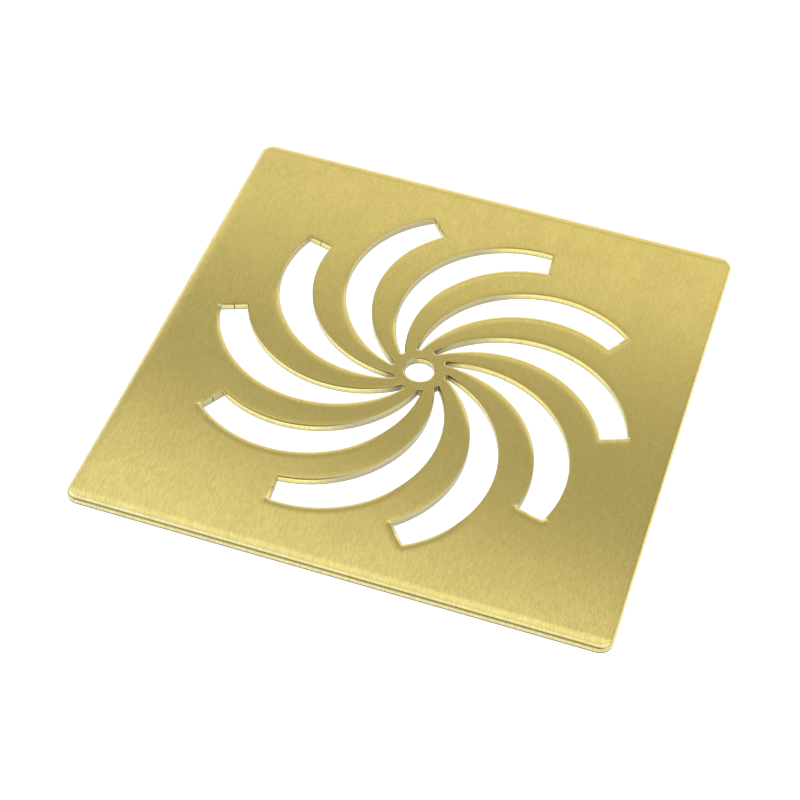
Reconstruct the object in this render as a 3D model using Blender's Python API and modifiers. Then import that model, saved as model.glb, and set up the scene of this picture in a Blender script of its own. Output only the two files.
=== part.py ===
"""Square drop-in floor drain grate: a brass plate with a swirl of curved slots, on four rubber-footed studs.

The frame has +Z up and +Y towards the back. Its origin is on the seat that the feet rest on, under
the plate's centre. All sizes are in metres and all angles in radians.
"""

from math import acos, atan2, cos, pi, radians, sin, tau

import bmesh
import bpy
from mathutils import Vector

MM = 0.001

# Plate
PLATE_SIDE = 100 * MM
PLATE_THICKNESS = 1.5 * MM
PLATE_UNDERSIDE_Z = 6.0 * MM
CORNER_RADIUS = 2.5 * MM
TOP_EDGE_RADIUS = 0.9 * MM
BOTTOM_EDGE_RADIUS = 0.15 * MM
CENTRE_HOLE_RADIUS = 2.85 * MM

# Swirl of slots. Each long edge of a slot is an arc, whose centre lies at its own distance from the
# plate's centre. The sweep is the angle between the two centres.
SLOT_COUNT = 10
CONVEX_ARC_RADIUS = 22.55 * MM
CONVEX_CENTRE_DISTANCE = 21.0 * MM
CONCAVE_ARC_RADIUS = 22.85 * MM
CONCAVE_CENTRE_DISTANCE = 20.5 * MM
SLOT_SWEEP = radians(18.6)
SWIRL_PHASE = radians(39.7)
OUTER_END_ANGLE = radians(94)
OUTER_END_INSET = 0.15 * MM
HUB_RADIUS = 5.3 * MM
OUTER_END_CORNER_RADIUS = 0.1 * MM
HUB_END_CORNER_RADIUS = 0.2 * MM

# Locating studs, welded by their flanges under the plate's corners
STUD_INSET = 11.0 * MM
STUD_FLANGE_RADIUS = 3.2 * MM
STUD_FLANGE_THICKNESS = 0.8 * MM
STUD_SHANK_RADIUS = 1.7 * MM
STUD_BARB_RADIUS = 2.2 * MM
STUD_BARB_HEIGHT = 0.6 * MM
STUD_TIP_RADIUS = 1.4 * MM
STUD_TIP_Z = 1.6 * MM

# Rubber feet, pushed over the studs' barbs
FOOT_TOP_RADIUS = 3.9 * MM
FOOT_BOTTOM_RADIUS = 4.3 * MM
FOOT_EDGE_RADIUS = 0.5 * MM

# Upper edge of the studs' flanges and of the feet
EDGE_CHAMFER = 0.2 * MM

# Neighbouring solids keep this gap, which stands for a weld or a tight push fit.
TOUCH_GAP = 0.3 * MM

# Mesh steps
LONG_ARC_STEPS = 24
SLOT_CORNER_STEPS = 3
PLATE_CORNER_STEPS = 6
TOP_EDGE_STEPS = 4
BOTTOM_EDGE_STEPS = 1
HOLE_STEPS = 36
TURNED_STEPS = 28
FOOT_EDGE_STEPS = 3
SHARP_ANGLE = radians(35)

# Points nearer than this are one point.
MERGE_DISTANCE = 0.001 * MM


def clear_scene():
    for obj in list(bpy.data.objects):
        bpy.data.objects.remove(obj)


def new_collection(name):
    collection = bpy.data.collections.new(name)
    bpy.context.scene.collection.children.link(collection)
    return collection


def new_material(name, colour, metallic, roughness):
    material = bpy.data.materials.new(name)
    material.use_nodes = True
    shader = material.node_tree.nodes["Principled BSDF"]
    shader.inputs["Base Color"].default_value = (*colour, 1.0)
    shader.inputs["Metallic"].default_value = metallic
    shader.inputs["Roughness"].default_value = roughness
    return material


def polar(distance, angle):
    return Vector((distance * cos(angle), distance * sin(angle)))


def direction_angle(start, end):
    return atan2(end.y - start.y, end.x - start.x)


def arc(centre, radius, start, end, steps):
    """Points on an arc, both ends included. It turns counter-clockwise where end is over start."""
    return [centre + polar(radius, start + (end - start) * i / steps) for i in range(steps + 1)]


def hub_crossing(arc_centre, arc_radius):
    """Where a slot's long arc crosses the hub circle, on the side that the arc comes in from."""
    distance = arc_centre.length
    cosine = (HUB_RADIUS**2 + distance**2 - arc_radius**2) / (2 * HUB_RADIUS * distance)
    return polar(HUB_RADIUS, atan2(arc_centre.y, arc_centre.x) + acos(cosine))


def line_meets_circle(start, direction, centre, radius):
    """The far crossing of a line with a circle, along the line's direction."""
    offset = centre - start
    along = offset.dot(direction)
    return start + direction * (along + (radius**2 - offset.length_squared + along**2) ** 0.5)


def rounded_corner(before, corner, after, radius):
    """The arc that rounds a corner between the straight lines to the points before and after it."""
    to_before = (before - corner).normalized()
    to_after = (after - corner).normalized()
    half_angle = to_before.angle(to_after) / 2
    centre = corner + (to_before + to_after).normalized() * radius / sin(half_angle)
    tangent_length = radius * cos(half_angle) / sin(half_angle)
    start = direction_angle(centre, corner + to_before * tangent_length)
    turn = direction_angle(centre, corner + to_after * tangent_length) - start
    turn = (turn + pi) % tau - pi
    return arc(centre, radius, start, start + turn, SLOT_CORNER_STEPS)


def slot_outline(turn):
    """One slot's closed outline, turned about the plate's centre."""
    convex_centre = polar(CONVEX_CENTRE_DISTANCE, SWIRL_PHASE + SLOT_SWEEP / 2 + turn)
    concave_centre = polar(CONCAVE_CENTRE_DISTANCE, SWIRL_PHASE - SLOT_SWEEP / 2 + turn)

    # The outer end is a straight cut, beside a line through the concave arc's centre.
    end_direction = polar(1, OUTER_END_ANGLE + turn)
    inwards = Vector((-end_direction.y, end_direction.x))
    end_start = concave_centre + inwards * OUTER_END_INSET
    concave_end = line_meets_circle(end_start, end_direction, concave_centre, CONCAVE_ARC_RADIUS)
    convex_end = line_meets_circle(end_start, end_direction, convex_centre, CONVEX_ARC_RADIUS)

    concave_hub = hub_crossing(concave_centre, CONCAVE_ARC_RADIUS)
    convex_hub = hub_crossing(convex_centre, CONVEX_ARC_RADIUS)

    def long_arc(centre, radius, start_point, end_point):
        start = direction_angle(centre, start_point)
        sweep = (direction_angle(centre, end_point) - start + pi) % tau - pi
        return arc(centre, radius, start, start + sweep, LONG_ARC_STEPS)

    concave_side = long_arc(concave_centre, CONCAVE_ARC_RADIUS, concave_hub, concave_end)
    convex_side = long_arc(convex_centre, CONVEX_ARC_RADIUS, convex_end, convex_hub)
    return [
        *concave_side[1:-1],
        *rounded_corner(concave_side[-2], concave_end, convex_end, OUTER_END_CORNER_RADIUS),
        *rounded_corner(concave_end, convex_end, convex_side[1], OUTER_END_CORNER_RADIUS),
        *convex_side[1:-1],
        *rounded_corner(convex_side[-2], convex_hub, concave_hub, HUB_END_CORNER_RADIUS),
        *rounded_corner(convex_hub, concave_hub, concave_side[1], HUB_END_CORNER_RADIUS),
    ]


def extruded_mesh(name, outlines, half_height):
    """A closed mesh of prisms, one for each outline, centred on z = 0."""
    curve = bpy.data.curves.new(name, "CURVE")
    curve.dimensions = "2D"
    curve.fill_mode = "BOTH"
    curve.extrude = half_height
    for outline in outlines:
        spline = curve.splines.new("POLY")
        spline.points.add(len(outline) - 1)
        spline.use_cyclic_u = True
        for spline_point, point in zip(spline.points, outline):
            spline_point.co = (point.x, point.y, 0, 1)
    guide = bpy.data.objects.new(name, curve)
    bpy.context.scene.collection.objects.link(guide)
    bpy.context.view_layer.update()
    evaluated = guide.evaluated_get(bpy.context.evaluated_depsgraph_get())
    mesh = bpy.data.meshes.new_from_object(evaluated)
    bpy.data.objects.remove(guide)

    welded = bmesh.new()
    welded.from_mesh(mesh)
    bmesh.ops.remove_doubles(welded, verts=welded.verts, dist=MERGE_DISTANCE)
    bmesh.ops.recalc_face_normals(welded, faces=welded.faces)
    welded.to_mesh(mesh)
    welded.free()
    return mesh


def round_edges(solid, chosen, radius, segments):
    edges = [edge for edge in solid.edges if chosen(*(vert.co for vert in edge.verts))]
    bmesh.ops.bevel(solid, geom=edges, offset=radius, segments=segments, profile=0.5, affect="EDGES")


def plate_blank_mesh():
    """The sheet before its slots are cut, centred on z = 0: rounded corners and a rolled-over top edge."""
    half_thickness = PLATE_THICKNESS / 2
    solid = bmesh.new()
    bmesh.ops.create_cube(solid, size=1)
    bmesh.ops.scale(solid, vec=(PLATE_SIDE, PLATE_SIDE, PLATE_THICKNESS), verts=solid.verts)

    def near(value, target):
        return abs(value - target) < MERGE_DISTANCE

    round_edges(solid, lambda a, b: not near(a.z, b.z), CORNER_RADIUS, PLATE_CORNER_STEPS)
    round_edges(
        solid,
        lambda a, b: near(a.z, half_thickness) and near(b.z, half_thickness),
        TOP_EDGE_RADIUS,
        TOP_EDGE_STEPS,
    )
    round_edges(
        solid,
        lambda a, b: near(a.z, -half_thickness) and near(b.z, -half_thickness),
        BOTTOM_EDGE_RADIUS,
        BOTTOM_EDGE_STEPS,
    )
    mesh = bpy.data.meshes.new("plate_blank")
    solid.to_mesh(mesh)
    solid.free()
    return mesh


def add_cutters(collection, height_centre):
    """The slots and the centre hole as one cutter, taller than the plate."""
    outlines = [slot_outline(tau * i / SLOT_COUNT) for i in range(SLOT_COUNT)]
    outlines.append(arc(Vector((0, 0)), CENTRE_HOLE_RADIUS, 0, tau, HOLE_STEPS)[:-1])
    cutter = bpy.data.objects.new("slot_cutter", extruded_mesh("slot_cutter", outlines, PLATE_THICKNESS))
    cutter.location.z = height_centre
    cutter.hide_render = True
    cutter.display_type = "WIRE"
    collection.objects.link(cutter)
    return cutter


def add_plate(parts, cutters, material):
    height_centre = PLATE_UNDERSIDE_Z + PLATE_THICKNESS / 2
    plate = bpy.data.objects.new("grate_plate", plate_blank_mesh())
    plate.location.z = height_centre
    plate.data.materials.append(material)
    parts.objects.link(plate)
    cut = plate.modifiers.new("cut_slots", "BOOLEAN")
    cut.operation = "DIFFERENCE"
    cut.solver = "EXACT"
    cut.object = add_cutters(cutters, height_centre)
    return plate


def turned_mesh(name, profile, material):
    """A solid of revolution about Z. The profile is (radius, height) pairs, down the outer side."""
    outline = bpy.data.meshes.new(name + "_profile")
    outline.from_pydata([(r, 0, z) for r, z in profile], [(i, i + 1) for i in range(len(profile) - 1)], [])
    turned = bpy.data.objects.new(name, outline)
    bpy.context.scene.collection.objects.link(turned)
    screw = turned.modifiers.new("turn", "SCREW")
    screw.axis = "Z"
    screw.steps = screw.render_steps = TURNED_STEPS
    screw.use_merge_vertices = True
    screw.merge_threshold = MERGE_DISTANCE
    bpy.context.view_layer.update()
    evaluated = turned.evaluated_get(bpy.context.evaluated_depsgraph_get())
    mesh = bpy.data.meshes.new_from_object(evaluated)
    bpy.data.objects.remove(turned)
    mesh.name = name
    mesh.materials.clear()
    mesh.materials.append(material)
    mesh.shade_smooth()
    mesh.set_sharp_from_angle(angle=SHARP_ANGLE)
    return mesh


def stud_mesh(material):
    """Flange against the plate, then a plain shank that ends in a barb."""
    top = PLATE_UNDERSIDE_Z - TOUCH_GAP
    flange_bottom = top - STUD_FLANGE_THICKNESS
    barb_top = STUD_TIP_Z + 2 * STUD_BARB_HEIGHT
    profile = [
        (0, top),
        (STUD_FLANGE_RADIUS - EDGE_CHAMFER, top),
        (STUD_FLANGE_RADIUS, top - EDGE_CHAMFER),
        (STUD_FLANGE_RADIUS, flange_bottom),
        (STUD_SHANK_RADIUS, flange_bottom),
        (STUD_SHANK_RADIUS, barb_top),
        (STUD_BARB_RADIUS, barb_top),
        (STUD_BARB_RADIUS, barb_top - STUD_BARB_HEIGHT),
        (STUD_TIP_RADIUS, STUD_TIP_Z),
        (0, STUD_TIP_Z),
    ]
    return turned_mesh("locating_stud", profile, material)


def foot_mesh(material):
    """A cap with a blind bore that follows the stud's shank and barb, one gap away."""
    top = PLATE_UNDERSIDE_Z - 2 * TOUCH_GAP - STUD_FLANGE_THICKNESS
    barb_top = STUD_TIP_Z + 2 * STUD_BARB_HEIGHT
    corner_centre = Vector((FOOT_BOTTOM_RADIUS - FOOT_EDGE_RADIUS, FOOT_EDGE_RADIUS))
    bottom_corner = arc(corner_centre, FOOT_EDGE_RADIUS, 0, -pi / 2, FOOT_EDGE_STEPS)
    profile = [
        (0, STUD_TIP_Z - TOUCH_GAP),
        (STUD_TIP_RADIUS + TOUCH_GAP, STUD_TIP_Z - TOUCH_GAP),
        (STUD_BARB_RADIUS + TOUCH_GAP, barb_top - STUD_BARB_HEIGHT - TOUCH_GAP / 2),
        (STUD_BARB_RADIUS + TOUCH_GAP, barb_top + TOUCH_GAP),
        (STUD_SHANK_RADIUS + TOUCH_GAP, barb_top + TOUCH_GAP),
        (STUD_SHANK_RADIUS + TOUCH_GAP, top),
        (FOOT_TOP_RADIUS - EDGE_CHAMFER, top),
        (FOOT_TOP_RADIUS, top - EDGE_CHAMFER),
        *(tuple(point) for point in bottom_corner),
        (0, 0),
    ]
    return turned_mesh("rubber_foot", profile, material)


def add_copy(collection, name, mesh, x, y):
    obj = bpy.data.objects.new(name, mesh)
    obj.location = (x, y, 0)
    collection.objects.link(obj)


def main():
    clear_scene()
    parts = new_collection("floor_drain_grate")
    cutters = new_collection("cutters")
    cutters.hide_render = True
    plate_brass = new_material("brushed_brass", (0.78, 0.62, 0.25), metallic=1.0, roughness=0.35)
    stud_brass = new_material("turned_brass", (0.74, 0.58, 0.26), metallic=1.0, roughness=0.3)
    rubber = new_material("black_rubber", (0.03, 0.03, 0.03), metallic=0.0, roughness=0.7)

    add_plate(parts, cutters, plate_brass)
    stud = stud_mesh(stud_brass)
    foot = foot_mesh(rubber)
    reach = PLATE_SIDE / 2 - STUD_INSET
    for depth_name, y in (("front", -reach), ("back", reach)):
        for side_name, x in (("left", -reach), ("right", reach)):
            add_copy(parts, f"locating_stud_{depth_name}_{side_name}", stud, x, y)
            add_copy(parts, f"rubber_foot_{depth_name}_{side_name}", foot, x, y)


main()
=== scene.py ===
"""Looks of the floor drain grate: brushed brass plate, welded studs, rubber feet and the studio.

All sizes are in metres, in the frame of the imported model. The plate's outline, thickness and height come
from that model, and the slots repeat its driving dimensions.
"""

from math import acos, atan2, cos, exp, hypot, pi, radians, sin, tan, tau

import bmesh
import bpy
from mathutils import Matrix, Vector, noise


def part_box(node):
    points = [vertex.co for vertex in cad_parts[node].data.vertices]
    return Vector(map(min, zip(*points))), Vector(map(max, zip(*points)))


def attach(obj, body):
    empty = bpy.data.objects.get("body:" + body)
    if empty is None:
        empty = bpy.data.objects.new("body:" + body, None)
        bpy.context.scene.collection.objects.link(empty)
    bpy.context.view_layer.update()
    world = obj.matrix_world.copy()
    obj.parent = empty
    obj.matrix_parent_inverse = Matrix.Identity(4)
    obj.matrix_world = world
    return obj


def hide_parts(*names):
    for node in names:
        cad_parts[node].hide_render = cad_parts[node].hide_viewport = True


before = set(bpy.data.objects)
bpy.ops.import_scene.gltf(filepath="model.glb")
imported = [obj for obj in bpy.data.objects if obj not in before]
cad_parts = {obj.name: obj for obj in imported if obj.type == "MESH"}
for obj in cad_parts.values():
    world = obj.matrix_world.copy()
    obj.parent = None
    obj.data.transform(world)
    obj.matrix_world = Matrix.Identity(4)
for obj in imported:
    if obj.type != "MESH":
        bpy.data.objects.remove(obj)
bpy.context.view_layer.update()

MM = 0.001

# Plate, from the frame
PLATE_LOW, PLATE_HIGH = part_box("grate_plate")
HALF_SIDE = (PLATE_HIGH.x - PLATE_LOW.x) / 2
UNDERSIDE_Z = PLATE_LOW.z
TOP_Z = PLATE_HIGH.z

# Plate edges
CORNER_RADIUS = 2.5 * MM
LEAST_CORNER_RADIUS = 0.2 * MM
TOP_EDGE_RADIUS = 0.9 * MM
BOTTOM_EDGE_RADIUS = 0.15 * MM
ROLL_OFF_REACH = 2.5 * MM
ROLL_OFF_SLOPE = radians(5)
SLOT_LIP_WIDTH = 0.17 * MM
SLOT_LIP_DEPTH = 0.2 * MM
SLOT_BOTTOM_RADIUS = 0.03 * MM

# Beside a slot's lip the brushing has rolled the face over, most on the side that it came from. The
# slope fades with the distance from the lip.
ROLL_WIDTH = 2.0 * MM
ROLL_FADE_LENGTH = 0.44 * MM
ROLL_NEAR_SLOPE = radians(11)
ROLL_FAR_SLOPE = radians(1)
BRUSHED_FROM = radians(262)
HUB_ROLL_SHARE = 0.18
FULL_ROLL_RADIUS = 15.0 * MM

# Swirl of slots
SLOT_COUNT = 10
CONVEX_ARC_RADIUS = 22.55 * MM
CONVEX_CENTRE_DISTANCE = 21.0 * MM
CONCAVE_ARC_RADIUS = 22.85 * MM
CONCAVE_CENTRE_DISTANCE = 20.5 * MM
SLOT_SWEEP = radians(18.6)
SWIRL_PHASE = radians(39.7)
OUTER_END_ANGLE = radians(94)
OUTER_END_INSET = 0.15 * MM
HUB_RADIUS = 5.3 * MM
OUTER_END_CORNER_RADIUS = 0.1 * MM
HUB_END_CORNER_RADIUS = 0.2 * MM
CENTRE_HOLE_RADIUS = 2.85 * MM
CUT_START_WIDTH = 0.2 * MM
CUT_START_DEPTH = 0.1 * MM

# Studs, besides what the frame gives
STUD_SHANK_RADIUS = 1.7 * MM
STUD_BARB_RADIUS = 2.2 * MM
STUD_BARB_HEIGHT = 0.6 * MM
STUD_TIP_RADIUS = 1.4 * MM
STUD_FLANGE_HEIGHT = 0.8 * MM
STUD_ROUND = 0.15 * MM
STUD_FLANGE_ROUND = 0.2 * MM
STUD_WELD_DEPTH = 0.02 * MM

# Feet, besides what the frame gives
FOOT_TAPER = 0.4 * MM
FOOT_EDGE_ROUND = 0.5 * MM
FOOT_LIP_ROUND = 0.25 * MM
FOOT_PARTING_HEIGHT = 2.4 * MM
FOOT_BORE_RADIUS = 1.72 * MM
FOOT_BORE_CHAMFER = 0.2 * MM
FOOT_BORE_DEPTH = 0.6 * MM
TREAD_GROOVE_RADII = (1.5 * MM, 2.5 * MM)

# Mesh steps
CORNER_STEPS = 10
TOP_EDGE_STEPS = 10
BOTTOM_EDGE_STEPS = 3
ROLL_OFF_STEPS = 10
LONG_ARC_STEPS = 72
SLOT_CORNER_STEPS = 4
SLOT_EDGE_STEPS = 4
SLOT_ROLL_STEPS = 8
HOLE_STEPS = 96
TURNED_STEPS = 72
ROUND_STEPS = 5

# Smooth shading: edges sharper than this stay sharp, and large faces lead the normals
SHARP_ANGLE = radians(40)
RUBBER_SHARP_ANGLE = radians(50)
LARGE_FACE_WEIGHT = 100

# Faces of the plate by how upright their normal is: flat, outer edge and slot wall
FLAT_NORMAL = 0.99
OUTER_EDGE_NORMAL = 0.5
SLOT_WALL_NORMAL = 0.9

# Colours of the face, the outer edge, the slots' walls, their lips and the laser's start grooves
FACE_DULL = (0.57, 0.445, 0.10, 1)
FACE_BRIGHT = (1.0, 0.825, 0.235, 1)
# Painted highlight: the pale colour of the steepest strip beside the slots' lips
FACE_PAINTED_HIGHLIGHT = (0.94, 0.81, 0.33, 1)
EDGE_DULL = (0.64, 0.57, 0.22, 1)
EDGE_BRIGHT = (0.84, 0.76, 0.305, 1)
# Painted shade: the dark foot of the outer edge, a painted reflection of the shade under the plate
EDGE_FOOT_SHADE = (0.12, 0.105, 0.065, 1)
WALL_DULL = (0.70, 0.64, 0.25, 1)
WALL_BRIGHT = (0.93, 0.87, 0.35, 1)
# Painted shade: the slots' walls darken towards the bottom
WALL_LOW_SHADE = (0.42, 0.36, 0.15, 1)
# Painted highlight: the brighter band on the upper part of the slots' walls
WALL_HIGHLIGHT_BAND = (0.95, 0.90, 0.38, 1)
# Painted reflection: the silvery upper band on walls that face left
WALL_SILVER_REFLECTION = (0.62, 0.58, 0.44, 1)
# Painted reflection: the dark line under that band
WALL_DARK_REFLECTION = (0.16, 0.13, 0.07, 1)
# Painted shade: walls that face right are darker
WALL_RIGHT_SHADE = (0.39, 0.36, 0.23, 1)
# Painted shade at the foot of the slots' walls
WALL_FOOT_SHADE = (0.30, 0.27, 0.19, 1)
# The slots' walls are darker at their narrow ends near the centre
WALL_CENTRE_DARK = (0.17, 0.125, 0.05, 1)
# Painted shade: the dark lip along the top of the slots' walls, a painted reflection of dark surroundings,
# lighter where a wall faces right and darker where it faces left
LIP_SHADE_FRONT = (0.61, 0.46, 0.12, 1)
LIP_SHADE_RIGHT = (0.62, 0.53, 0.22, 1)
LIP_SHADE_LEFT = (0.50, 0.43, 0.16, 1)
SOOT_DARK = (0.07, 0.05, 0.025, 1)
SOOT_LIGHT = (0.22, 0.16, 0.07, 1)

# Colours of the studs, the feet and the floor
STUD_DULL = (0.66, 0.50, 0.20, 1)
STUD_BRIGHT = (0.80, 0.63, 0.28, 1)
STUD_HEATED = (0.36, 0.22, 0.10, 1)
RUBBER_BLACK = (0.022, 0.022, 0.023, 1)
RUBBER_DUST = (0.075, 0.072, 0.066, 1)
FLOOR_GREY = (0.3, 0.3, 0.3, 1)
WHITE = (1, 1, 1, 1)

# Finishes: heights above the underside are in millimetres
GRAIN_ANGLE = radians(4)
BRUSHING_ANISOTROPY = 0.8
BUMP_DISTANCE = 0.02 * MM
RUBBER_BUMP_DISTANCE = 0.03 * MM
FOOT_LOW = 0.1
BAND_LOW = 1.0
NOISE_LOW = 0.3
NOISE_HIGH = 0.7

# Studio: the floor, the lowest direction with a light of its own, and the level of the open sides
FLOOR_HALF_SIDE = 3.0
FLOOR_GLOW = 0.95
LOWEST_LIGHT = 0.05
OPEN_SIDE_LEVEL = 0.8

# Where the light changes from front to back: start, end, change and sideways tilt
SOFT_STEPS = (
    (-4.40, -2.70, -0.64, 0.0),
    (-1.05, -0.25, 0.84, 0.0),
    (0.34, 0.38, -0.26, 0.0),
    (0.48, 0.53, 0.28, 0.0),
    (0.60, 0.69, -0.19, 0.0),
    (0.66, 0.775, -0.59, 0.14),
    (0.86, 1.05, 0.52, 0.0),
    (1.08, 1.16, -0.26, 0.0),
    (1.26, 1.40, 0.39, 0.0),
)

# The light's factors from left to right: start, end, factor before and factor after
SIDE_STEPS = (
    (-2.2, -1.2, 0.8, 1.0),
    (-0.80, -0.64, 1.35, 1.0),
    (-0.50, -0.38, 0.97, 1.0),
    (-0.20, -0.08, 1.0, 1.03),
    (0.60, 1.20, 1.0, 0.88),
)

# The light's tints
TINT_OVERHEAD = (0.95, 1.0, 1.33, 1)
TINT_OVERHEAD_LEFT = (0.95, 1.03, 1.48, 1)
TINT_BACK = (1, 0.99, 1.14, 1)
TINT_FAR_LEFT = (0.96, 1.04, 1.8, 1)
TINT_FRONT = (1.0, 1.06, 1.7, 1)
TINT_FRONT_LEFT = (1.0, 1.16, 3.1, 1)
TINT_FRONT_FAR_LEFT = (1.0, 1.08, 1.9, 1)
TINT_BEHIND_CAMERA = (1.0, 1.05, 1.9, 1)
TINT_FAR_BEHIND = (1.0, 1.0, 1.3, 1)
TINT_OPEN_SIDES = (1.0, 1.0, 1.1, 1)

# Camera: it looks at a point on the top face, to the front right of the plate's centre
CAMERA_TARGET = Vector((9.06 * MM, -6.32 * MM, TOP_Z))
CAMERA_DISTANCE = 364.98 * MM
CAMERA_AZIMUTH = radians(13.98)
CAMERA_ELEVATION = radians(48.62)
CAMERA_ROLL = radians(4.462)
CAMERA_LENS = 88.6
CAMERA_SENSOR = 36
CAMERA_SHIFT = (-0.0695, 0.0067)


# Outlines


def polar(distance, angle):
    return Vector((distance * cos(angle), distance * sin(angle)))


def direction_angle(start, end):
    return atan2(end.y - start.y, end.x - start.x)


def arc(centre, radius, start, end, steps):
    return [centre + polar(radius, start + (end - start) * i / steps) for i in range(steps + 1)]


def hub_crossing(arc_centre, arc_radius, hub_radius):
    distance = arc_centre.length
    cosine = (hub_radius**2 + distance**2 - arc_radius**2) / (2 * hub_radius * distance)
    return polar(hub_radius, atan2(arc_centre.y, arc_centre.x) + acos(cosine))


def line_meets_circle(start, direction, centre, radius):
    """The far crossing of a line with a circle, along the line's direction."""
    offset = centre - start
    along = offset.dot(direction)
    return start + direction * (along + (radius**2 - offset.length_squared + along**2) ** 0.5)


def rounded_corner(before, corner, after, radius):
    to_before = (before - corner).normalized()
    to_after = (after - corner).normalized()
    half_angle = to_before.angle(to_after) / 2
    centre = corner + (to_before + to_after).normalized() * radius / sin(half_angle)
    tangent_length = radius * cos(half_angle) / sin(half_angle)
    start = direction_angle(centre, corner + to_before * tangent_length)
    turn = direction_angle(centre, corner + to_after * tangent_length) - start
    turn = (turn + pi) % tau - pi
    return arc(centre, radius, start, start + turn, SLOT_CORNER_STEPS)


def slot_centres(turn):
    convex_centre = polar(CONVEX_CENTRE_DISTANCE, SWIRL_PHASE + SLOT_SWEEP / 2 + turn)
    concave_centre = polar(CONCAVE_CENTRE_DISTANCE, SWIRL_PHASE - SLOT_SWEEP / 2 + turn)
    return convex_centre, concave_centre


def slot_end(turn, spread):
    """The two corners of a slot's straight outer end, and the directions along it and outwards."""
    convex_centre, concave_centre = slot_centres(turn)
    along = polar(1, OUTER_END_ANGLE + turn)
    outwards = Vector((along.y, -along.x))
    start = concave_centre + outwards * (spread - OUTER_END_INSET)
    concave_end = line_meets_circle(start, along, concave_centre, CONCAVE_ARC_RADIUS - spread)
    convex_end = line_meets_circle(start, along, convex_centre, CONVEX_ARC_RADIUS + spread)
    return concave_end, convex_end, along, outwards


def slot_outline(turn, spread):
    """One slot's outline, turned about the plate's centre and widened by spread on every side."""
    convex_centre, concave_centre = slot_centres(turn)
    concave_hub = hub_crossing(concave_centre, CONCAVE_ARC_RADIUS - spread, HUB_RADIUS - spread)
    convex_hub = hub_crossing(convex_centre, CONVEX_ARC_RADIUS + spread, HUB_RADIUS - spread)
    concave_end, convex_end, along, outwards = slot_end(turn, spread)

    # The laser starts halfway along the outer end and leaves a fine groove there.
    middle = (concave_end + convex_end) / 2
    half_groove = along * CUT_START_WIDTH / 2
    groove = [
        middle - half_groove,
        middle - half_groove / 2 + outwards * CUT_START_DEPTH,
        middle + half_groove / 2 + outwards * CUT_START_DEPTH,
        middle + half_groove,
    ]

    def long_arc(centre, start_point, end_point, share=1.0):
        start = direction_angle(centre, start_point)
        sweep = (direction_angle(centre, end_point) - start + pi) % tau - pi
        return arc(centre, (start_point - centre).length, start, start + sweep * share, LONG_ARC_STEPS)

    def just_past(centre, corner, other_end):
        """A point on the arc a short way from its corner, which gives the arc's direction there."""
        return long_arc(centre, corner, other_end, 0.03)[-1]

    end_radius = OUTER_END_CORNER_RADIUS + spread
    hub_radius = HUB_END_CORNER_RADIUS + spread
    before = just_past(concave_centre, concave_end, concave_hub)
    concave_end_corner = rounded_corner(before, concave_end, convex_end, end_radius)
    after = just_past(convex_centre, convex_end, convex_hub)
    convex_end_corner = rounded_corner(concave_end, convex_end, after, end_radius)
    before = just_past(convex_centre, convex_hub, convex_end)
    convex_hub_corner = rounded_corner(before, convex_hub, concave_hub, hub_radius)
    after = just_past(concave_centre, concave_hub, concave_end)
    concave_hub_corner = rounded_corner(convex_hub, concave_hub, after, hub_radius)
    return [
        *long_arc(concave_centre, concave_hub_corner[-1], concave_end_corner[0])[1:-1],
        *concave_end_corner,
        *groove,
        *convex_end_corner,
        *long_arc(convex_centre, convex_end_corner[-1], convex_hub_corner[0])[1:-1],
        *convex_hub_corner,
        *concave_hub_corner,
    ]


def hole_outline(spread):
    return arc(Vector((0, 0)), CENTRE_HOLE_RADIUS + spread, 0, tau, HOLE_STEPS)[:-1]


def plate_outline(inset):
    """The plate's rounded square, moved inwards. Each outline has the same number of points."""
    radius = max(CORNER_RADIUS - inset, LEAST_CORNER_RADIUS)
    reach = HALF_SIDE - inset - radius
    points = []
    for quarter, (x, y) in enumerate(((1, 1), (-1, 1), (-1, -1), (1, -1))):
        start = quarter * pi / 2
        points += arc(Vector((x * reach, y * reach)), radius, start, start + pi / 2, CORNER_STEPS)
    return points


# Meshes


def add_loft(solid, outlines):
    """A closed skin over outlines of 3D points, listed from the bottom to the top."""
    rings = [[solid.verts.new(point) for point in outline] for outline in outlines]
    count = len(rings[0])
    for lower, upper in zip(rings, rings[1:]):
        for i in range(count):
            j = (i + 1) % count
            solid.faces.new((lower[i], lower[j], upper[j], upper[i]))
    solid.faces.new(list(reversed(rings[0])))
    solid.faces.new(rings[-1])


def object_from(solid, name):
    bmesh.ops.recalc_face_normals(solid, faces=solid.faces)
    mesh = bpy.data.meshes.new(name)
    solid.to_mesh(mesh)
    solid.free()
    obj = bpy.data.objects.new(name, mesh)
    bpy.context.scene.collection.objects.link(obj)
    return obj


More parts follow.
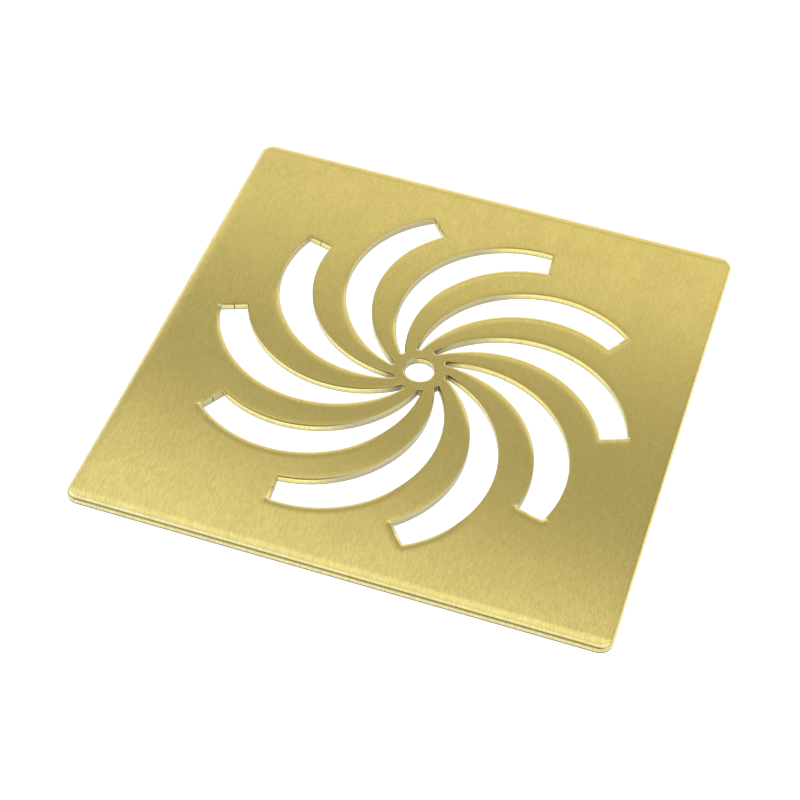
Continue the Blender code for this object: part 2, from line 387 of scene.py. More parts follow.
def plate_blank():
    """The whole sheet: a rolled-over top edge that fades into the flat face, and a small break below."""
    roll_start = TOP_EDGE_RADIUS * (1 - sin(ROLL_OFF_SLOPE))
    roll_length = ROLL_OFF_REACH - roll_start
    drop = tan(ROLL_OFF_SLOPE) * roll_length / 2
    edge_centre_z = TOP_Z - drop - TOP_EDGE_RADIUS * cos(ROLL_OFF_SLOPE)

    profile = []
    for i in range(BOTTOM_EDGE_STEPS + 1):
        angle = pi / 2 * i / BOTTOM_EDGE_STEPS
        inset = BOTTOM_EDGE_RADIUS * (1 - sin(angle))
        profile.append((inset, UNDERSIDE_Z + BOTTOM_EDGE_RADIUS * (1 - cos(angle))))
    for i in range(TOP_EDGE_STEPS + 1):
        angle = (pi / 2 - ROLL_OFF_SLOPE) * i / TOP_EDGE_STEPS
        inset = TOP_EDGE_RADIUS * (1 - cos(angle))
        profile.append((inset, edge_centre_z + TOP_EDGE_RADIUS * sin(angle)))
    for i in range(1, ROLL_OFF_STEPS + 1):
        left = 1 - i / ROLL_OFF_STEPS
        profile.append((ROLL_OFF_REACH - left * roll_length, TOP_Z - drop * left**2))

    solid = bmesh.new()
    add_loft(solid, [[(p.x, p.y, height) for p in plate_outline(inset)] for inset, height in profile])
    return object_from(solid, "plate_blank")


def smooth_share(value, start, end):
    """0 below start, 1 above end, and a smooth step between them."""
    share = min(max((value - start) / (end - start), 0.0), 1.0)
    return share * share * (3 - 2 * share)


def roll_over(lip_point, wide_point, width):
    """The roll-over beside one point of a lip: the step out to its end, and its slope at the lip.

    wide_point is the lip's point on an outline wider by width. The roll-over is narrow near the hub, where
    the ribs between the slots are.
    """
    from_hub = smooth_share(lip_point.length, HUB_RADIUS, FULL_ROLL_RADIUS)
    room = HUB_ROLL_SHARE + (1 - HUB_ROLL_SHARE) * from_hub
    outwards = (wide_point - lip_point) / width
    facing = outwards.normalized().dot(polar(1, BRUSHED_FROM))
    slope = ROLL_FAR_SLOPE + (ROLL_NEAR_SLOPE - ROLL_FAR_SLOPE) * smooth_share(facing, 0.15, 0.6)
    return outwards * ROLL_WIDTH * room, slope


def add_cutter(solid, outline_at):
    """The cutter of one opening: small round below, upright wall, chamfered lip and roll-over."""
    overlap = 0.001 * MM
    outside = 0.3 * MM
    probe = 0.4 * MM
    lip = outline_at(SLOT_LIP_WIDTH)
    wide = outline_at(SLOT_LIP_WIDTH + probe)
    rolls = [roll_over(lip_point, wide_point, probe) for lip_point, wide_point in zip(lip, wide)]
    fade = ROLL_WIDTH / ROLL_FADE_LENGTH

    def drop_at(slope, share):
        """How far the rolled face lies below the flat, at a share of the roll-over's width."""
        return tan(slope) * ROLL_FADE_LENGTH * (exp(-fade * share) - exp(-fade))

    def flat_ring(spread, height):
        return [point.to_3d() + Vector((0, 0, height)) for point in outline_at(spread)]

    rings = [flat_ring(SLOT_BOTTOM_RADIUS, UNDERSIDE_Z - outside)]
    for i in range(SLOT_EDGE_STEPS + 1):
        angle = pi / 2 * i / SLOT_EDGE_STEPS
        height = UNDERSIDE_Z - overlap + SLOT_BOTTOM_RADIUS * (1 - cos(angle))
        rings.append(flat_ring(SLOT_BOTTOM_RADIUS * (1 - sin(angle)), height))
    wall_top = flat_ring(0.0, TOP_Z - SLOT_LIP_DEPTH)
    for point, (_, slope) in zip(wall_top, rolls):
        point.z -= drop_at(slope, 0.0)
    rings.append(wall_top)
    for i in range(SLOT_ROLL_STEPS + 1):
        share = (i / SLOT_ROLL_STEPS) ** 1.5
        ring = []
        for point, (step, slope) in zip(lip, rolls):
            height = TOP_Z + overlap * share - drop_at(slope, share)
            ring.append((point + step * share).to_3d() + Vector((0, 0, height)))
        rings.append(ring)
    rings.append([Vector((point.x, point.y, TOP_Z + outside)) for point in rings[-1]])
    add_loft(solid, rings)


def slot_cutter():
    solid = bmesh.new()
    for i in range(SLOT_COUNT):
        add_cutter(solid, lambda spread: slot_outline(tau * i / SLOT_COUNT, spread))
    add_cutter(solid, hole_outline)
    return object_from(solid, "slot_cutter")


def freeze(obj):
    """Applies the object's modifiers."""
    bpy.context.view_layer.update()
    evaluated = obj.evaluated_get(bpy.context.evaluated_depsgraph_get())
    mesh = bpy.data.meshes.new_from_object(evaluated)
    obj.modifiers.clear()
    obj.data = mesh


def shade(obj, sharp_angle):
    """Smooth shading that keeps large flat faces flat."""
    obj.data.shade_smooth()
    obj.data.set_sharp_from_angle(angle=sharp_angle)
    weighted = obj.modifiers.new("flat_faces_lead", "WEIGHTED_NORMAL")
    weighted.keep_sharp = True
    weighted.weight = LARGE_FACE_WEIGHT
    freeze(obj)


def plan_uv(mesh):
    """A plan view UV map, whose U axis runs across the brushing."""
    layer = mesh.uv_layers.new(name="plan")
    for loop in mesh.loops:
        point = mesh.vertices[loop.vertex_index].co
        layer.data[loop.index].uv = (point.x / (2 * HALF_SIDE) + 0.5, point.y / (2 * HALF_SIDE) + 0.5)


def add_plate(materials):
    """The plate. The materials are for its face, outer edge, slot walls and the laser's start grooves."""
    plate = plate_blank()
    cutter = slot_cutter()
    cut = plate.modifiers.new("cut", "BOOLEAN")
    cut.operation = "DIFFERENCE"
    cut.solver = "EXACT"
    cut.object = cutter
    freeze(plate)
    bpy.data.objects.remove(cutter)
    plate.name = plate.data.name = "grate_plate_brushed"
    for material in materials:
        plate.data.materials.append(material)
    face, outer_edge, slot_wall, groove = range(len(materials))
    groove_places = []
    for i in range(SLOT_COUNT):
        concave_end, convex_end, _, _ = slot_end(tau * i / SLOT_COUNT, 0.0)
        groove_places.append((concave_end + convex_end) / 2)
    for polygon in plate.data.polygons:
        centre = polygon.center.to_2d()
        outside = max(abs(centre.x), abs(centre.y)) > HALF_SIDE - CORNER_RADIUS
        low = polygon.center.z < UNDERSIDE_Z + BOTTOM_EDGE_RADIUS
        bottom_edge = low and polygon.normal.z > -FLAT_NORMAL
        steep = abs(polygon.normal.z) < (OUTER_EDGE_NORMAL if outside else SLOT_WALL_NORMAL)
        if not (steep or bottom_edge):
            polygon.material_index = face
        elif outside:
            polygon.material_index = outer_edge
        elif min((centre - place).length for place in groove_places) < 0.75 * CUT_START_WIDTH:
            polygon.material_index = groove
        else:
            polygon.material_index = slot_wall
    shade(plate, SHARP_ANGLE)
    plan_uv(plate.data)
    return plate


def add_turned(name, profile, x, y):
    """A solid of revolution about the vertical line through (x, y).

    The profile is (radius, height) pairs from the bottom of the axis, round the outside, to its top.
    """
    solid = bmesh.new()
    start, *rings, end = profile
    bottom = solid.verts.new((x, y, start[1]))
    top = solid.verts.new((x, y, end[1]))
    loops = []
    for radius, height in rings:
        points = [polar(radius, tau * i / TURNED_STEPS) for i in range(TURNED_STEPS)]
        loops.append([solid.verts.new((x + p.x, y + p.y, height)) for p in points])
    for i in range(TURNED_STEPS):
        j = (i + 1) % TURNED_STEPS
        solid.faces.new((bottom, loops[0][j], loops[0][i]))
        solid.faces.new((top, loops[-1][i], loops[-1][j]))
        for lower, upper in zip(loops, loops[1:]):
            solid.faces.new((lower[i], lower[j], upper[j], upper[i]))
    return object_from(solid, name)


def round_over(centre, radius, start, end, steps=ROUND_STEPS):
    """Profile points on an arc, for a turned shape. Angles are from the outward direction, upwards."""
    return [(p.x, p.y) for p in arc(Vector(centre), radius, radians(start), radians(end), steps)]


def add_stud(cad_node, material):
    """A welded stud: fillet of weld metal, round flange, shank and barb."""
    low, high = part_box(cad_node)
    x, y = (low.x + high.x) / 2, (low.y + high.y) / 2
    flange_radius = (high.x - low.x) / 2
    tip_z = low.z
    barb_low = tip_z + STUD_BARB_HEIGHT
    barb_top = tip_z + 2 * STUD_BARB_HEIGHT
    flange_low = high.z - STUD_FLANGE_HEIGHT
    flange_top = UNDERSIDE_Z + STUD_WELD_DEPTH
    shank, barb, tip = STUD_SHANK_RADIUS, STUD_BARB_RADIUS, STUD_TIP_RADIUS
    fillet, flange_round = STUD_ROUND, STUD_FLANGE_ROUND
    profile = [
        (0, tip_z),
        (tip - fillet, tip_z),
        *round_over((tip - fillet, tip_z + fillet), fillet, -60, -30, 2),
        (barb - 0.05 * MM, barb_low - 0.05 * MM),
        (barb, barb_low),
        (barb, barb_top - 0.1 * MM),
        (barb - 0.1 * MM, barb_top),
        (shank + 0.05 * MM, barb_top),
        (shank, barb_top + 0.05 * MM),
        (shank, flange_low - fillet),
        *round_over((shank + fillet, flange_low - fillet), fillet, 180, 90, 4)[1:],
        *round_over((flange_radius - flange_round, flange_low + flange_round), flange_round, -90, 0),
        (flange_radius, flange_top - 0.45 * MM),
        (flange_radius + 0.08 * MM, flange_top - 0.3 * MM),
        (flange_radius + 0.25 * MM, flange_top - 0.12 * MM),
        (flange_radius + 0.55 * MM, flange_top),
        (0, flange_top),
    ]
    stud = add_turned(cad_node + "_welded", profile, x, y)
    stud.data.materials.append(material)

    # The weld fillet isn't even: its height and width drift a little around the flange.
    margin = 0.05 * MM
    drifts_per_metre = 1200
    width_drift, height_drift = 0.018, 0.06 * MM
    for vertex in stud.data.vertices:
        outside = hypot(vertex.co.x - x, vertex.co.y - y) - flange_radius
        if outside > margin:
            drift = noise.noise(vertex.co * drifts_per_metre)
            scale = 1 + width_drift * drift
            vertex.co.x = x + (vertex.co.x - x) * scale
            vertex.co.y = y + (vertex.co.y - y) * scale
            if vertex.co.z < flange_top - margin:
                vertex.co.z += height_drift * drift
    shade(stud, SHARP_ANGLE)
    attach(stud, "root")
    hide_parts(cad_node)


def add_foot(cad_node, material):
    """A moulded rubber foot: tapered side with a parting line, a soft top lip and a ringed tread."""
    low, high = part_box(cad_node)
    x, y = (low.x + high.x) / 2, (low.y + high.y) / 2
    bottom_radius = (high.x - low.x) / 2
    top_radius = bottom_radius - FOOT_TAPER
    seat_z, top_z = low.z, high.z
    edge, lip = FOOT_EDGE_ROUND, FOOT_LIP_ROUND
    bore, chamfer = FOOT_BORE_RADIUS, FOOT_BORE_CHAMFER

    def side_radius(height):
        return bottom_radius + (top_radius - bottom_radius) * (height - edge) / (top_z - edge)

    tread = [(0, seat_z + 0.25 * MM), (0.5 * MM, seat_z + 0.25 * MM), (0.8 * MM, seat_z)]
    for groove in TREAD_GROOVE_RADII:
        tread += [
            (groove, seat_z),
            (groove + 0.12 * MM, seat_z + 0.22 * MM),
            (groove + 0.38 * MM, seat_z + 0.22 * MM),
            (groove + 0.5 * MM, seat_z),
        ]
    parting = FOOT_PARTING_HEIGHT
    profile = [
        *tread,
        *round_over((bottom_radius - edge, seat_z + edge), edge, -90, 0, 8),
        (side_radius(parting - 0.1 * MM), parting - 0.1 * MM),
        (side_radius(parting) + 0.06 * MM, parting - 0.03 * MM),
        (side_radius(parting) + 0.06 * MM, parting + 0.03 * MM),
        (side_radius(parting + 0.1 * MM), parting + 0.1 * MM),
        (side_radius(top_z - lip), top_z - lip),
        *round_over((side_radius(top_z) - lip, top_z - lip), lip, 15, 90, 5),
        (bore + chamfer, top_z),
        (bore, top_z - chamfer),
        (bore, top_z - FOOT_BORE_DEPTH),
        (0, top_z - FOOT_BORE_DEPTH),
    ]
    foot = add_turned(cad_node + "_moulded", profile, x, y)
    foot.data.materials.append(material)
    shade(foot, RUBBER_SHARP_ANGLE)
    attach(foot, "root")
    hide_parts(cad_node)


# Materials


class Nodes:
    """Short ways to add shader nodes. A socket, a number or a colour can go into any input."""

    def __init__(self, tree):
        self.tree = tree

    def add(self, kind, inputs=None, output=0, **settings):
        node = self.tree.nodes.new(kind)
        for name, value in settings.items():
            setattr(node, name, value)
        self.set(node, inputs or {})
        return node.outputs[output]

    def set(self, node, inputs):
        for key, value in inputs.items():
            socket = node.inputs[key]
            if isinstance(value, bpy.types.NodeSocket):
                self.tree.links.new(value, socket)
            else:
                socket.default_value = value

    def math(self, operation, a, b=0.0, clamp=False):
        return self.add("ShaderNodeMath", {0: a, 1: b}, operation=operation, use_clamp=clamp)

    def plus(self, a, b):
        return self.math("ADD", a, b)

    def times(self, a, b):
        return self.math("MULTIPLY", a, b)

    def vector(self, operation, a, b):
        return self.add("ShaderNodeVectorMath", {0: a, 1: b}, operation=operation)

    def scaled(self, vector, factor):
        return self.add("ShaderNodeVectorMath", {0: vector, "Scale": factor}, operation="SCALE")

    def turned(self, vector, angle, scale):
        """The vector turned about Z, then scaled along its new axes."""
        spin = self.add("ShaderNodeMapping", {"Vector": vector, "Rotation": (0, 0, -angle)})
        return self.vector("MULTIPLY", spin, scale)

    def noise(self, vector, detail, roughness):
        inputs = {"Vector": vector, "Scale": 1.0, "Detail": detail, "Roughness": roughness}
        return self.add("ShaderNodeTexNoise", inputs)

    def stretched_noise(self, vector, scale, detail, roughness):
        return self.noise(self.vector("MULTIPLY", vector, scale), detail, roughness)

    def cells(self, vector, scale):
        """A flat Voronoi pattern: the node, for its several outputs."""
        inputs = {"Vector": vector, "Scale": scale}
        return self.add("ShaderNodeTexVoronoi", inputs, voronoi_dimensions="2D").node

    def ramp(self, value, low, high, start=0.0, end=1.0):
        """start below low, end above high, and a smooth step between them."""
        inputs = {"Value": value, "From Min": low, "From Max": high, "To Min": start, "To Max": end}
        return self.add("ShaderNodeMapRange", inputs, interpolation_type="SMOOTHSTEP")

    def below(self, value, low, high):
        """1 below low, 0 above high, and a smooth step between them."""
        return self.ramp(value, low, high, 1, 0)

    def spread(self, noise, start=0.0, end=1.0):
        """start to end over the range that a noise texture mostly uses."""
        return self.ramp(noise, NOISE_LOW, NOISE_HIGH, start, end)

    def mix(self, factor, a, b):
        """A mix of two colours. The node's inputs 6 and 7 and its output 2 are its colours."""
        return self.add("ShaderNodeMix", {0: factor, 6: a, 7: b}, 2, data_type="RGBA")

    def mix_numbers(self, factor, a, b):
        return self.add("ShaderNodeMix", {0: factor, 2: a, 3: b})

    def parts(self, vector):
        return self.add("ShaderNodeSeparateXYZ", {0: vector}).node.outputs

    def millimetres(self):
        """The place on the object."""
        return self.scaled(self.add("ShaderNodeTexCoord", output="Object"), 1 / MM)

    def normal(self):
        return self.parts(self.add("ShaderNodeTexCoord", output="Normal"))

    def bump(self, height, strength, distance=BUMP_DISTANCE):
        inputs = {"Strength": strength, "Distance": distance, "Height": height}
        return self.add("ShaderNodeBump", inputs)

    def finish(self, shader, colour, roughness, bump, metallic):
        inputs = {"Base Color": colour, "Roughness": roughness, "Normal": bump, "Metallic": metallic}
        self.set(shader, inputs)


def new_material(name):
    material = bpy.data.materials.new(name)
    material.use_nodes = True
    shader = material.node_tree.nodes["Principled BSDF"]
    return material, Nodes(material.node_tree), shader


def hairlines(nodes, position, angle, length, spacing, width, share):
    """Straight fine scratches of one rough direction: one in some of the cells of a stretched grid."""
    slow_noise = {"Vector": position, "Scale": 0.08, "Detail": 0.0}
    bend = nodes.add("ShaderNodeTexNoise", slow_noise, "Color")
    shift = nodes.scaled(nodes.vector("SUBTRACT", bend, (0.5, 0.5, 0.5)), 6.0)
    moved = nodes.vector("ADD", position, shift)
    grid = nodes.turned(moved, angle, (1 / length, 1 / spacing, 0))
    cell = nodes.cells(grid, 1.0)
    offset = nodes.parts(nodes.vector("SUBTRACT", grid, cell.outputs["Position"]))
    across = nodes.math("ABSOLUTE", offset[1])
    along = nodes.math("ABSOLUTE", offset[0])
    line = nodes.below(across, 0.0, width / spacing)
    ends = nodes.below(along, 0.2, 0.45)
    chance = nodes.parts(cell.outputs["Color"])[0]
    present = nodes.math("LESS_THAN", chance, share)
    return nodes.times(nodes.times(line, ends), present)


def bright_specks(nodes, position, spacing, size, share):
    """Small bright spots in some cells of an uneven grid."""
    cell = nodes.cells(position, 1 / spacing)
    dot = nodes.below(cell.outputs["Distance"], 0.3 * size / spacing, size / spacing)
    present = nodes.math("LESS_THAN", nodes.parts(cell.outputs["Color"])[0], share)
    return nodes.times(dot, present)


def brushed_brass():
    """Linear brushing along the plate's Y axis, with scratches, specks, dull and polished patches."""
    material, nodes, shader = new_material("brushed_brass_face")
    position = nodes.millimetres()
    fine = nodes.noise(nodes.turned(position, GRAIN_ANGLE, (8.0, 0.85, 1)), 3.0, 0.6)
    coarse = nodes.noise(nodes.turned(position, GRAIN_ANGLE, (3.4, 0.7, 1)), 2.0, 0.55)
    patches = nodes.stretched_noise(position, (0.16, 0.13, 0.2), 3.0, 0.55)
    mottle = nodes.stretched_noise(position, (2.6, 2.1, 1), 3.0, 0.6)
    grain = nodes.plus(nodes.times(fine, 0.55), nodes.times(coarse, 0.45))
    steep_scratches = hairlines(nodes, position, radians(-42), 9.0, 2.4, 0.07, 0.22)
    level_scratches = hairlines(nodes, position, radians(28), 7.0, 3.4, 0.06, 0.12)
    scratches = nodes.math("MAXIMUM", steep_scratches, level_scratches)
    specks = bright_specks(nodes, position, 1.7, 0.11, 0.3)

    # The front is more worn than the back, and its right corner is mottled. The grain is coarsest in front
    # and to the left of the slots.
    place = nodes.parts(position)
    front = nodes.below(place[1], -45.0, 5.0)
    worn_corner = nodes.times(front, nodes.ramp(place[0], -20.0, 45.0))
    left_middle = nodes.times(nodes.below(place[0], -45.0, -5.0), nodes.below(place[1], 5.0, 25.0))
    coarser = nodes.math("MAXIMUM", nodes.times(front, 0.055), nodes.times(left_middle, 0.1))
    grain_strength = nodes.plus(coarser, 0.15)
    mottle_strength = nodes.plus(nodes.times(worn_corner, 0.08), 0.035)

    tone = nodes.times(nodes.spread(grain, -1.0, 1.0), grain_strength)
    tone = nodes.plus(tone, nodes.spread(patches, -0.035, 0.035))
    tone = nodes.plus(tone, nodes.times(nodes.spread(mottle, -1.0, 1.0), mottle_strength))
    tone = nodes.plus(tone, nodes.times(scratches, 0.14))
    tone = nodes.plus(tone, nodes.times(specks, 0.3))
    colour = nodes.mix(nodes.math("ADD", tone, 0.5, True), FACE_DULL, FACE_BRIGHT)

    # The steepest strip beside the slots' lips is painted pale: a painted highlight where it catches the
    # light. The plate's rim isn't.
    steep = nodes.below(nodes.normal()[2], 0.988, 0.998)
    to_rim = nodes.math("MAXIMUM", nodes.math("ABSOLUTE", place[0]), nodes.math("ABSOLUTE", place[1]))
    wear_and_sheen = nodes.times(steep, nodes.below(to_rim, 44.0, 46.0))
    colour = nodes.mix(wear_and_sheen, colour, FACE_PAINTED_HIGHLIGHT)

    roughness = nodes.plus(nodes.spread(grain, 0.19, 0.15), nodes.spread(patches, 0.015, -0.015))
    height = nodes.math("SUBTRACT", grain, nodes.times(scratches, 0.6))
    inputs = {
        "Base Color": colour,
        "Metallic": 1.0,
        "Roughness": roughness,
        "Anisotropic": BRUSHING_ANISOTROPY,
        "Normal": nodes.bump(height, 0.12),
        "Tangent": nodes.add("ShaderNodeTangent", direction_type="UV_MAP", uv_map="plan"),
    }
    nodes.set(shader, inputs)
    return material


def wall_place(nodes):
    """The place on a cut wall: position and height above the underside, both in millimetres."""
    position = nodes.millimetres()
    return position, nodes.math("SUBTRACT", nodes.parts(position)[2], UNDERSIDE_Z / MM)


def wall_facing(nodes):
    """How far a cut wall faces left, and how far it faces right."""
    normal = nodes.normal()
    flat_length = nodes.math("SQRT", nodes.math("SUBTRACT", 1.0, nodes.times(normal[2], normal[2])))
    across = nodes.math("DIVIDE", normal[0], nodes.math("MAXIMUM", flat_length, 0.05))
    return nodes.below(across, -0.85, -0.5), nodes.ramp(across, 0.25, 0.6)


def striations(nodes, position):
    """The fine upright lines that a laser leaves on a cut wall."""
    return nodes.stretched_noise(position, (5, 5, 0.35), 2.0, 0.6)


def wander(nodes, position):
    """The slow unevenness of the bands along a cut wall."""
    return nodes.stretched_noise(position, (0.8, 0.8, 0), 3.0, 0.6)


def cut_edge_brass():
    """The plate's outer edge: upright striations, and painted shade along its foot, a painted reflection of
    the shade under the plate.
    """
    material, nodes, shader = new_material("cut_brass_edge")
    position, height = wall_place(nodes)
    striation = striations(nodes, position)
    height = nodes.plus(height, nodes.ramp(wander(nodes, position), 0.2, 0.8, -0.06, 0.06))
    colour = nodes.mix(nodes.spread(striation), EDGE_DULL, EDGE_BRIGHT)
    # Painted shade along the foot of the edge, a painted reflection of the shade under the plate
    colour = nodes.mix(nodes.ramp(height, 0.3, 0.5, 0.9, 0.0), colour, EDGE_FOOT_SHADE)
    roughness = nodes.spread(striation, 0.46, 0.38)
    nodes.finish(shader, colour, roughness, nodes.bump(striation, 0.3), 1.0)
    return material


def cut_wall_brass():
    """The slots' walls: a lip in painted shade, a smoother band under it painted bright as a highlight, and
    a striated band that darkens downwards in painted shade to a foot in painted shade.

    Walls that face left have a painted silvery reflection as their upper band, over a painted dark
    reflection line.
    Walls that face right are painted darker as shade. The narrow ends near the centre are darker.
    """
    material, nodes, shader = new_material("cut_brass_wall")
    position, height = wall_place(nodes)
    left_facing, right_facing = wall_facing(nodes)
    striation = striations(nodes, position)
    drift = wander(nodes, position)
    uneven = nodes.plus(height, nodes.ramp(drift, 0.2, 0.8, -0.05, 0.05))

    striated = nodes.mix(nodes.spread(striation), WALL_DULL, WALL_BRIGHT)
    # Painted shade: the walls darken towards the bottom
    lower = nodes.mix(nodes.ramp(uneven, FOOT_LOW, BAND_LOW, 0.38, 0.0), striated, WALL_LOW_SHADE)
    # The smoother upper band: a painted highlight, and a painted silvery reflection where the wall faces
    # left
    band = nodes.mix(left_facing, WALL_HIGHLIGHT_BAND, WALL_SILVER_REFLECTION)
    colour = nodes.mix(nodes.ramp(uneven, BAND_LOW, BAND_LOW + 0.06), lower, band)
    # A painted dark reflection line under the band, on walls that face left
    from_line = nodes.math("ABSOLUTE", nodes.math("SUBTRACT", uneven, BAND_LOW))
    line = nodes.times(nodes.below(from_line, 0.03, 0.1), nodes.ramp(left_facing, 0, 1, 0.0, 0.85))
    colour = nodes.mix(line, colour, WALL_DARK_REFLECTION)
    # Painted shade on walls that face right
    colour = nodes.mix(nodes.times(right_facing, 0.85), colour, WALL_RIGHT_SHADE)
    # The lip in painted shade, a painted dark reflection that changes with the way the wall faces
    lip = nodes.mix(right_facing, LIP_SHADE_FRONT, LIP_SHADE_RIGHT)
    lip = nodes.mix(left_facing, lip, LIP_SHADE_LEFT)
    colour = nodes.mix(nodes.ramp(height, 1.15, 1.29), colour, lip)
    # Painted shade at the walls' foot
    colour = nodes.mix(nodes.ramp(uneven, FOOT_LOW, 0.4, 0.8, 0.0), colour, WALL_FOOT_SHADE)

    flat_place = nodes.vector("MULTIPLY", position, (1, 1, 0))
    from_centre = nodes.add("ShaderNodeVectorMath", {0: flat_place}, "Value", operation="LENGTH")
    # The walls darken at the slots' narrow ends near the centre
    blotches = nodes.times(nodes.ramp(from_centre, 4.5, 9.0, 0.85, 0.0), nodes.ramp(drift, 0.2, 0.6, 0.6, 1.0))
    blotches = nodes.times(blotches, nodes.ramp(from_centre, 3.2, 4.2, 0.3, 1.0))
    colour = nodes.mix(blotches, colour, WALL_CENTRE_DARK)
    roughness = nodes.ramp(uneven, BAND_LOW, BAND_LOW + 0.1, 0.42, 0.3)
    nodes.finish(shader, colour, roughness, nodes.bump(striation, 0.3), 1.0)
    return material


def burnt_brass():
    """The fine groove where the laser broke through: dark, rough oxide over brass."""
    material, nodes, shader = new_material("burnt_brass_groove")
    soot = nodes.stretched_noise(nodes.millimetres(), (6, 6, 3), 3.0, 0.6)
    colour = nodes.mix(nodes.spread(soot), SOOT_DARK, SOOT_LIGHT)
    nodes.finish(shader, colour, nodes.spread(soot, 0.6, 0.45), nodes.bump(soot, 0.4), 0.8)
    return material


def turned_brass():
    """Lathe-turned stud brass with fine rings, dulled and straw-tinted by the weld near the plate."""
    material, nodes, shader = new_material("turned_brass_stud")
    position = nodes.millimetres()
    rings = nodes.stretched_noise(position, (0.4, 0.4, 14), 2.0, 0.6)
    blotches = nodes.stretched_noise(position, (1.5, 1.5, 1.5), 3.0, 0.6)
    heat = nodes.ramp(nodes.parts(position)[2], 5.0, 5.8)
    heat = nodes.times(heat, nodes.ramp(blotches, 0.3, 0.6, 0.55, 1.0))
    bright = nodes.mix(nodes.spread(rings), STUD_DULL, STUD_BRIGHT)
    colour = nodes.mix(heat, bright, STUD_HEATED)
    roughness = nodes.plus(nodes.spread(rings, 0.24, 0.34), nodes.times(heat, 0.25))
    nodes.finish(shader, colour, roughness, nodes.bump(rings, 0.2), 1.0)
    return material


def black_rubber():
    """Moulded rubber: a fine matt skin, a little dust in the low spots, smoother where it rests."""
    material, nodes, shader = new_material("moulded_rubber")
    position = nodes.millimetres()
    skin = nodes.stretched_noise(position, (9, 9, 9), 4.0, 0.65)
    dust = nodes.stretched_noise(position, (0.9, 0.9, 1.4), 3.0, 0.6)
    colour = nodes.mix(nodes.ramp(dust, 0.45, 0.75), RUBBER_BLACK, RUBBER_DUST)
    wear_and_sheen = nodes.ramp(nodes.parts(position)[2], 0.0, 0.4, -0.12, 0.0)
    roughness = nodes.plus(nodes.spread(skin, 0.62, 0.82), wear_and_sheen)
    nodes.finish(shader, colour, roughness, nodes.bump(skin, 0.35, RUBBER_BUMP_DISTANCE), 0.0)
    return material


# Studio


def add_floor():
    """A plain pale floor where the feet rest. It's clear from below, so that the underside shows."""
    solid = bmesh.new()
    bmesh.ops.create_grid(solid, x_segments=1, y_segments=1, size=FLOOR_HALF_SIDE)
    floor = object_from(solid, "studio_floor")
    material, nodes, shader = new_material("studio_floor")
    inputs = {
        "Base Color": FLOOR_GREY,
        "Roughness": 1.0,
        "Emission Color": WHITE,
        "Emission Strength": FLOOR_GLOW,
    }
    nodes.set(shader, inputs)
    underneath = nodes.add("ShaderNodeNewGeometry", output="Backfacing")
    clear = nodes.add("ShaderNodeBsdfTransparent")
    shown = nodes.add("ShaderNodeMixShader", {0: underneath, 1: shader.outputs[0], 2: clear})
    nodes.set(nodes.tree.nodes["Material Output"], {"Surface": shown})
    floor.data.materials.append(material)


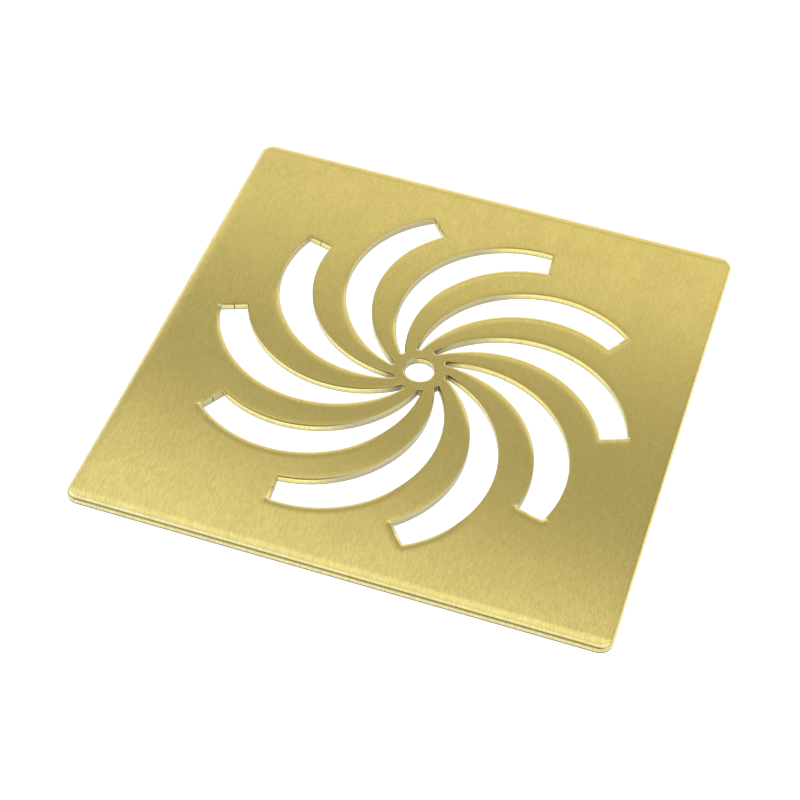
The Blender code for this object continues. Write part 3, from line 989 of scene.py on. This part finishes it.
def light_studio():
    """Soft studio light, drawn on a ceiling: across and ahead are its coordinates, in units of its height.

    A back wall and a wide overhead softbox leave a dim gap between them, which the plate's middle mirrors.
    Behind the camera it's dark, cool light comes from the left, and both sides are evenly lit down to the
    horizon. To the right the ceiling bends down, so that the light there changes from front to back only.
    """
    world = bpy.data.worlds.new("studio")
    world.use_nodes = True
    bpy.context.scene.world = world
    nodes = Nodes(world.node_tree)
    direction = nodes.parts(nodes.add("ShaderNodeTexCoord", output="Generated"))
    height = nodes.math("MAXIMUM", direction[2], LOWEST_LIGHT)
    rightwards = nodes.math("MAXIMUM", direction[0], 0.0)
    squares = nodes.plus(nodes.math("POWER", height, 2.0), nodes.math("POWER", rightwards, 2.0))
    across = nodes.math("DIVIDE", direction[0], height)
    ahead = nodes.math("DIVIDE", direction[1], nodes.math("SQRT", squares))
    aside = nodes.math("ABSOLUTE", across)
    behind = nodes.times(nodes.below(ahead, -0.9, -0.6), nodes.ramp(aside, 1.3, 2.0))
    open_sides = nodes.math("MAXIMUM", behind, nodes.ramp(aside, 3.0, 3.7))

    level = 1.0
    for start, end, change, tilt in SOFT_STEPS:
        place = nodes.plus(ahead, nodes.times(nodes.math("MINIMUM", across, 0.0), tilt))
        level = nodes.plus(nodes.ramp(place, start, end, 0.0, change), level)
    for start, end, before, after in SIDE_STEPS:
        level = nodes.times(level, nodes.ramp(across, start, end, before, after))
    level = nodes.mix_numbers(open_sides, level, OPEN_SIDE_LEVEL)

    overhead = nodes.mix(nodes.below(across, -0.42, -0.15), TINT_OVERHEAD, TINT_OVERHEAD_LEFT)
    overhead = nodes.mix(nodes.ramp(ahead, 0.60, 0.82), overhead, TINT_BACK)
    overhead = nodes.mix(nodes.below(across, -0.88, -0.66), overhead, TINT_FAR_LEFT)
    front = nodes.mix(nodes.below(across, -0.42, -0.22), TINT_FRONT, TINT_FRONT_LEFT)
    front = nodes.mix(nodes.below(across, -1.6, -0.9), front, TINT_FRONT_FAR_LEFT)
    tint = nodes.mix(nodes.below(ahead, 0.30, 0.45), overhead, front)
    tint = nodes.mix(nodes.below(ahead, -0.80, -0.60), tint, TINT_BEHIND_CAMERA)
    tint = nodes.mix(nodes.below(ahead, -1.60, -1.20), tint, TINT_FAR_BEHIND)
    tint = nodes.mix(open_sides, tint, TINT_OPEN_SIDES)

    seen_directly = nodes.add("ShaderNodeLightPath", output="Is Camera Ray")
    colour = nodes.mix(seen_directly, nodes.scaled(tint, level), WHITE)
    nodes.set(world.node_tree.nodes["Background"], {"Color": colour})


def add_camera():
    data = bpy.data.cameras.new("camera")
    data.lens = CAMERA_LENS
    data.sensor_width = CAMERA_SENSOR
    data.shift_x, data.shift_y = CAMERA_SHIFT
    data.clip_start = 1 * MM
    camera = bpy.data.objects.new("camera", data)
    bpy.context.scene.collection.objects.link(camera)
    back = Vector(
        (
            sin(CAMERA_AZIMUTH) * cos(CAMERA_ELEVATION),
            -cos(CAMERA_AZIMUTH) * cos(CAMERA_ELEVATION),
            sin(CAMERA_ELEVATION),
        )
    )
    level_right = Vector((cos(CAMERA_AZIMUTH), sin(CAMERA_AZIMUTH), 0))
    level_up = back.cross(level_right)
    right = cos(CAMERA_ROLL) * level_right + sin(CAMERA_ROLL) * level_up
    up = back.cross(right)
    turn = Matrix((right, up, back)).transposed()
    camera.matrix_world = Matrix.Translation(CAMERA_TARGET + back * CAMERA_DISTANCE) @ turn.to_4x4()
    bpy.context.scene.camera = camera


def main():
    add_camera()
    light_studio()
    add_floor()
    bpy.context.scene.view_settings.view_transform = "Standard"

    plate = add_plate([brushed_brass(), cut_edge_brass(), cut_wall_brass(), burnt_brass()])
    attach(plate, "root")
    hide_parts("grate_plate")
    stud_material = turned_brass()
    foot_material = black_rubber()
    for name in sorted(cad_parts):
        if name.startswith("locating_stud"):
            add_stud(name, stud_material)
        elif name.startswith("rubber_foot"):
            add_foot(name, foot_material)


main()
